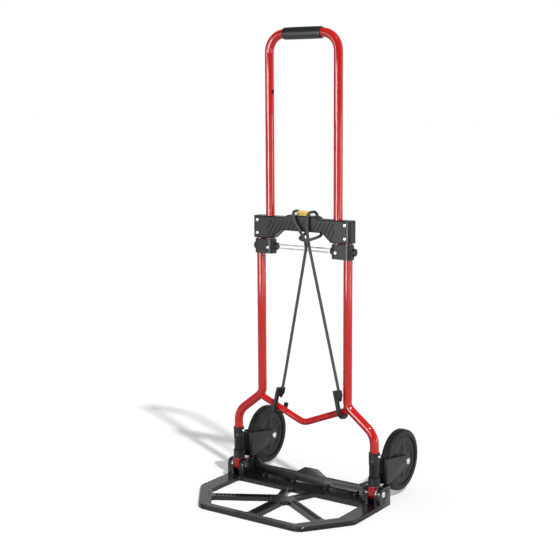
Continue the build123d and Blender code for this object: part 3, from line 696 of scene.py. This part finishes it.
def make_tyre(node):
    centre = centre_of(node)
    sector = full_turn / tread_count
    tyre = spin_section(both_ends(tyre_half), centre, sector_segments, sector)

    def in_knob(place, normal):
        out = place - centre
        turned = math.atan2(-out.y, out.z) % full_turn
        spun = min(turned, full_turn - turned)
        on_tread = math.hypot(out.y, out.z) > tread_radius * millimetre
        return on_tread and spun < sector * knob_segments / sector_segments

    pick_faces(tyre, in_knob)
    lift = (0.0, 0.0, knob_height * millimetre)
    bpy.ops.mesh.extrude_region_move(TRANSFORM_OT_translate={"value": lift})
    bpy.ops.mesh.select_all(action="SELECT")
    rest = full_turn - sector
    bpy.ops.mesh.spin(steps=tread_count - 1, dupli=True, angle=rest, center=centre, axis=(1, 0, 0))
    close_seams(tyre)
    return tyre


for side in side_signs:
    tyre = make_tyre(side + "_tyre")
    settle(tyre, side + "_treaded_tyre", side + "_wheel", tyre_rubber, [side + "_tyre"])

# %% [markdown]
# ## Screws
# Each screw is a cylinder whose top rim is bevelled into a pan head, whose underside is inset and extruded
# into the shank, and whose cross recess is cut with two thin boxes. A thread would be hidden in its hole, so
# the shank is plain. It is modelled upright at the origin, and copies are turned and moved to their seats.


# %% One screw
screw_sides = 32
rim_round = 0.45
rim_segments = 4
recess_length = 1.2
recess_width = 0.256
facing = 0.9


def make_screw(head_radius, head_height, shank_radius, shank_length):
    """A screw whose head seats on Z = 0 and whose shank points down, sizes in mm."""
    clear_selection()
    radius = head_radius * millimetre
    height = head_height * millimetre
    middle = (0, 0, height / 2)
    bpy.ops.mesh.primitive_cylinder_add(vertices=screw_sides, radius=radius, depth=height, location=middle)
    piece = bpy.context.object
    apply_place(piece)
    pick_edges(piece, lambda one, other: min(one.z, other.z) > height / 2)
    bpy.ops.mesh.bevel(offset=height * rim_round, segments=rim_segments, affect="EDGES")
    pick_faces(piece, lambda place, normal: normal.z < -facing)
    bpy.ops.mesh.inset(thickness=radius - shank_radius * millimetre)
    drop = (0, 0, -shank_length * millimetre)
    bpy.ops.mesh.extrude_region_move(TRANSFORM_OT_translate={"value": drop})
    bpy.ops.object.mode_set(mode="OBJECT")
    for wide, deep in ((recess_length, recess_width), (recess_width, recess_length)):
        clear_selection()
        bpy.ops.mesh.primitive_cube_add(size=1.0, location=(0, 0, height))
        cutter = bpy.context.object
        cutter.scale = (wide * radius, deep * radius, height)
        apply_place(cutter)
        apply_modifier(piece, "BOOLEAN", object=cutter, operation="DIFFERENCE", solver="EXACT")
        bpy.data.objects.remove(cutter)
    return piece


def set_screws(screw, seats, turn, name, body, finish):
    """Copies a screw to its seats, in mm with Y from the plane of the tubes, and joins the copies."""
    copies = [copy_of(screw, Matrix.Translation(in_place(seat)) @ turn) for seat in seats]
    bpy.data.objects.remove(screw)
    settle(join(copies), name + "_cut", body, finish, [name])


# %% [markdown]
# The crosshead and the slide blocks take screws from the front, the collars from the right, and the rear beam
# from above. The heads are alike apart from the beam's, which are smaller and black. The shanks fill the
# holes that the CAD model has for them.

# %% Screws in their seats
side_tube_half = 115.2
leg_half = 89.6
post_half = 184.5
crosshead_face = -14.0
crosshead_screw_heights = (590.8, 619.9)
block_seat = -10.9
block_screw_height = 558.6
collar_radius = 12.5
collar_screw_height = 117.0
beam_screw_row = 20.5
beam_screw_places = (45.0, 125.0)
beam_top = 14.0
signs = side_signs.values()
crosshead_seats = [
    (sign * side_tube_half, crosshead_face, height) for sign in signs for height in crosshead_screw_heights
]
block_seats = [(sign * leg_half, block_seat, block_screw_height) for sign in signs]
collar_seats = [(sign * post_half + collar_radius, 0.0, collar_screw_height) for sign in signs]
beam_seats = [(sign * place, beam_screw_row, beam_top) for sign in signs for place in beam_screw_places]
bright_head = {"head_radius": 3.8, "head_height": 2.6, "shank_radius": 2.5}
black_head = {"head_radius": 3.6, "head_height": 2.0, "shank_radius": 2.0}
long_screw = make_screw(shank_length=25.9, **bright_head)
short_screw = make_screw(shank_length=3.9, **bright_head)
collar_screw = make_screw(shank_length=25.0, **bright_head)
beam_screw = make_screw(shank_length=10.0, **black_head)
upright = Matrix.Identity(4)
to_front = Matrix.Rotation(math.pi / 2, 4, "X")
to_right = Matrix.Rotation(math.pi / 2, 4, "Y")
set_screws(long_screw, crosshead_seats, to_front, "crosshead_screws", "frame", bright_steel)
set_screws(short_screw, block_seats, to_front, "block_screws", "handle", bright_steel)
set_screws(collar_screw, collar_seats, to_right, "collar_screws", "frame", bright_steel)
set_screws(beam_screw, beam_seats, upright, "beam_screws", "plate", black_steel)

# %% [markdown]
# ## Gear teeth at the feet
# When the plate folds, bevel teeth at each foot turn the wheels in with it. A ring of small teeth shows under
# each post's ring, and a row of them on the rounded front of each outer cheek. One tooth is a cube whose
# outer face is drawn in, so that it tapers, and whose edges are bevelled. A cut wheel would show the same
# from outside, and single teeth are easier to place.


# %% One tooth
tooth_taper = (0.6, 0.9, 1.0)
tooth_round = 0.2


def make_tooth(width, length, height):
    """A tapered tooth that stands on Z = 0, sizes in mm."""
    clear_selection()
    bpy.ops.mesh.primitive_cube_add(size=1.0, location=(0, 0, height * millimetre / 2))
    piece = bpy.context.object
    piece.scale = (width * millimetre, length * millimetre, height * millimetre)
    apply_place(piece)
    pick_faces(piece, lambda place, normal: normal.z > facing)
    bpy.ops.transform.resize(value=tooth_taper)
    pick_edges(piece, lambda one, other: max(one.z, other.z) > 0.0)
    bpy.ops.mesh.bevel(offset=tooth_round * millimetre, segments=1, affect="EDGES")
    bpy.ops.object.mode_set(mode="OBJECT")
    return piece


# %% [markdown]
# A copy is turned about the post for each tooth of a ring, and about the plate's pivot for each tooth of a
# row. The rings stay with the frame, and the rows fold with the plate.

# %% Rings and rows of teeth
ring_teeth = 14
ring_radius = 12.4
ring_underside = 50.0
pivot_height = 32.5
cheek_radius = 14.5
cheek_teeth_place = 11.2
cheek_turns = [math.radians(degrees) for degrees in (8, 25, 42, 59, 76)]
down = Matrix.Rotation(math.pi, 4, "X")
ring_tooth = make_tooth(width=1.9, length=1.5, height=1.8)
cheek_tooth = make_tooth(width=4.6, length=2.4, height=0.45)
for side, sign in side_signs.items():
    post = in_place((sign * post_half, 0.0, 0.0))
    copies = []
    for index in range(ring_teeth):
        about = Matrix.Rotation(full_turn * index / ring_teeth, 4, "Z")
        out = Matrix.Translation(Vector((0.0, ring_radius, ring_underside)) * millimetre)
        copies.append(copy_of(ring_tooth, Matrix.Translation(post) @ about @ out @ down))
    settle(join(copies), side + "_ring_teeth", "frame", plain_steel)
    copies = []
    pivot = post + Vector((sign * cheek_teeth_place, 0.0, pivot_height)) * millimetre
    for turn in cheek_turns:
        about = Matrix.Rotation(math.pi / 2 - turn, 4, "X")
        out = Matrix.Translation((0.0, 0.0, cheek_radius * millimetre))
        copies.append(copy_of(cheek_tooth, Matrix.Translation(pivot) @ about @ out))
    settle(join(copies), side + "_cheek_teeth", "plate", plain_steel)
bpy.data.objects.remove(ring_tooth)
bpy.data.objects.remove(cheek_tooth)

# %% [markdown]
# ## Anti-slip bars on the plate
# Low bars stand along the inner edge of the plate's front and slanting rims, so that a load doesn't slide.
# They could be a bump in the finish, but bars catch the light on real edges, so they are modelled. Their pale
# grey finish is partly worn plastic and partly a painted highlight on them. One bar is made as the teeth are,
# and copies are laid along each rim at an even pitch, slightly sunk.

# %% Bars along the rims
bar_pitch = 7.5
bar_foot = 9.8
bar_lean = math.radians(20)
front_run_half = 118.0
front_run_place = -211.5
slant_run_back = (184.4, -113.8)
slant_run_front = (133.4, -182.8)
bar = make_tooth(width=3.4, length=8.5, height=0.8)
rim_runs = [((-front_run_half, front_run_place), (front_run_half, front_run_place))]
for sign in signs:
    rim_runs.append([(sign * across, back) for across, back in (slant_run_back, slant_run_front)])
copies = []
for start, end in rim_runs:
    run = Vector(end) - Vector(start)
    lean = Matrix.Rotation(math.atan2(run.y, run.x) + bar_lean, 4, "Z")
    count = int(run.length / bar_pitch)
    for index in range(count):
        spot = Vector(start) + run * (index + 0.5) / count
        place = in_place((spot.x, spot.y, bar_foot))
        copies.append(copy_of(bar, Matrix.Translation(place) @ lean))
bpy.data.objects.remove(bar)
# The bars' pale finish paints highlights on them along with their wear.
settle(join(copies), "anti_slip_bars", "plate", glint_and_wear_plastic)

# %% [markdown]
# ## Softer edges
# A moulding has no knife edges: each corner has a small radius that catches the light. The CAD meshes stay as
# they are, so a copy is merged, its flat faces are dissolved into one, and a bevel rounds the sharp edges.
# Modelling these pieces again would risk their fit, and the copy keeps it.


# %% Softened mouldings
tight_merge = 0.001 * millimetre
flat_angle = math.radians(0.5)
sharp_angle = math.radians(45)
edge_segments = 2


def soften(node_name, body, finish, width):
    """Copies a CAD node with its sharp edges rounded by a width in mm."""
    piece = copy_of(frame["nodes"][node_name], Matrix.Identity(4))
    choose(piece)
    bpy.ops.object.mode_set(mode="EDIT")
    bpy.ops.mesh.select_all(action="SELECT")
    bpy.ops.mesh.remove_doubles(threshold=tight_merge)
    bpy.ops.mesh.dissolve_limited(angle_limit=flat_angle)
    bpy.ops.object.mode_set(mode="OBJECT")
    apply_modifier(
        piece,
        "BEVEL",
        width=width * millimetre,
        segments=edge_segments,
        limit_method="ANGLE",
        angle_limit=sharp_angle,
        use_clamp_overlap=False,
    )
    settle(piece, node_name + "_softened", body, finish, [node_name])


for side in side_signs:
    soften(side + "_fork", side + "_fork", black_plastic, width=0.6)
    soften(side + "_foot_housing", "plate", plate_plastic, width=0.6)
    soften(side + "_wheel_hub", side + "_wheel", wheel_plastic, width=0.4)
soften("rear_beam", "plate", plate_plastic, width=0.5)

# %% [markdown]
# ## The CAD nodes' finishes
# Where a CAD solid already has the right shape, it only needs its finish. The record says which slot each
# node takes, and here each slot gets the material that was made for it.

# %% Dress the CAD nodes
finish_of_slot = {
    "red_paint": red_paint,
    "grip_foam": grip_foam,
    "black_plastic": black_plastic,
    "plate_plastic": plate_plastic,
    "red_plastic": red_plastic,
    "yellow_plastic": yellow_plastic,
    "bright_steel": bright_steel,
    "black_steel": black_steel,
    "plain_steel": plain_steel,
    "bush_plastic": bush_plastic,
    "tyre_rubber": tyre_rubber,
    "wheel_plastic": wheel_plastic,
    "cord_cover": cord_cover,
}
for part in frame["record"]["subparts"]:
    node = frame["nodes"][part["node"]]
    node.data.materials.clear()
    node.data.materials.append(finish_of_slot[part["material_slot"]])

# %% [markdown]
# ## Stage and light
# The truck stands on a plain pale floor in a white studio. Most of what the camera sees of the floor is its
# own pale colour under the lamps, so the truck keeps a clear grey shadow. A little glow, for the camera and
# in reflections only, lifts it to nearly white and throws no other light on the truck.

# %% Floor
floor_size = 60.0
floor_glow = 0.295
floor_gloss = 0.45
white = (1.0, 1.0, 1.0, 1.0)


def seen_ray(wire, gloss):
    """1 for a ray from the camera or through something clear, gloss for a reflection, and otherwise 0."""
    camera_ray = wire.node("LightPath", output="Is Camera Ray")
    clear_ray = wire.node("LightPath", output="Is Transmission Ray")
    glossy_ray = wire.node("LightPath", output="Is Glossy Ray")
    return wire.maths("MAXIMUM", wire.maths("MAXIMUM", camera_ray, clear_ray), glossy_ray * gloss)


def make_floor_finish():
    material, place = start_finish("studio_floor")
    tree = material.node_tree
    tint = mix(noise(place, scale=3.0), (0.765, 0.765, 0.767), (0.775, 0.775, 0.777))
    set_shader(material, Base_Color=tint, Roughness=1.0, Specular_IOR_Level=0.0)
    seen = seen_ray(place, floor_gloss)
    glow = place.node("Emission", {}, {"Color": white, "Strength": seen * floor_glow})
    surface = Wire(tree, tree.nodes["Principled BSDF"].outputs[0])
    both = place.node("AddShader", {}, {0: surface, 1: glow})
    tree.links.new(both.socket, tree.nodes["Material Output"].inputs["Surface"])
    return material


clear_selection()
bpy.ops.mesh.primitive_plane_add(size=floor_size)
floor = bpy.context.object
floor.name = "studio_floor"
floor.data.materials.append(make_floor_finish())
print("floor", floor_size, "m wide")

# %% [markdown]
# The sky is white to the camera. In reflections it is a studio: a white backdrop low behind the truck, and a
# dimmer room above it and in front, which is what keeps black mouldings black. As a lamp it is even, and
# dimmer than it looks, so that colours render about as they are written.

# %% Sky
sky_level = 0.34
room_level = 0.22
backdrop_behind = ((0.45, 0.0), (0.68, 1.0))
backdrop_low_down = ((0.60, 1.0), (0.80, 0.0))
world = bpy.data.worlds.new("white_studio")
world.use_nodes = True
bpy.context.scene.world = world
backdrop = world.node_tree.nodes["Background"]
backdrop.inputs["Color"].default_value = white
sky = Wire(world.node_tree, backdrop.outputs[0])
direction = sky.node("TexCoord", output="Generated")
backward = sky.node("SeparateXYZ", {}, {0: direction}, output="Y")
upward = sky.node("SeparateXYZ", {}, {0: direction}, output="Z")
behind = steps(from_signed(backward), *backdrop_behind)
low_down = steps(from_signed(upward), *backdrop_low_down)
reflected = behind * low_down * (1.0 - room_level) + room_level
glossy = sky.node("LightPath", output="Is Glossy Ray")
unseen = glossy * reflected + (1 - glossy) * sky_level
seen = seen_ray(sky, 0.0)
plug(world.node_tree, backdrop.inputs["Strength"], seen + (1 - seen) * unseen)
print("sky level", sky_level, "as a lamp,", room_level, "in reflections of the room")

# %% [markdown]
# A sun from the front right throws the shadow. A glossy tube shows mostly what it mirrors, so four soft boxes
# stand where the tubes and the grip mirror them to the camera. They are seen in reflections only.

# %% Lamps
sun_from = Vector((0.550, -0.283, 0.786))
sun_energy = 2.4
sun_width = math.radians(2.5)
bpy.ops.object.light_add(type="SUN", location=sun_from)
sun = bpy.context.object
sun.name = "key_lamp"
sun.rotation_euler = sun_from.to_track_quat("Z", "Y").to_euler()
sun.data.energy = sun_energy
sun.data.angle = sun_width


def softbox(name, place, target, width, height, radiance):
    """A rectangular lamp that faces a point. Its reflection is what draws the bright lines on the tubes."""
    bpy.ops.object.light_add(type="AREA", location=place)
    lamp = bpy.context.object
    lamp.name = name
    lamp.rotation_euler = (Vector(place) - Vector(target)).to_track_quat("Z", "Y").to_euler()
    lamp.data.shape = "RECTANGLE"
    lamp.data.size = width
    lamp.data.size_y = height
    lamp.data.energy = radiance * math.pi * width * height
    lamp.visible_camera = False
    lamp.visible_diffuse = False


softbox(
    "left_strip",
    place=(-0.375, -2.67, 0.50),
    target=(0.0, 0.0, 0.50),
    width=1.34,
    height=1.05,
    radiance=14.0,
)
softbox(
    "right_strip",
    place=(1.95, -1.30, 0.10),
    target=(0.0, 0.0, 0.15),
    width=0.25,
    height=0.70,
    radiance=9.0,
)
softbox(
    "side_strip",
    place=(2.60, 0.64, 0.35),
    target=(0.0, 0.0, 0.30),
    width=0.70,
    height=0.90,
    radiance=7.0,
)
softbox(
    "grip_strip",
    place=(-1.58, -2.20, 0.95),
    target=(0.0, 0.0, 1.00),
    width=0.90,
    height=0.35,
    radiance=9.0,
)
bpy.context.scene.view_settings.view_transform = "Standard"
print("sun energy", sun_energy)
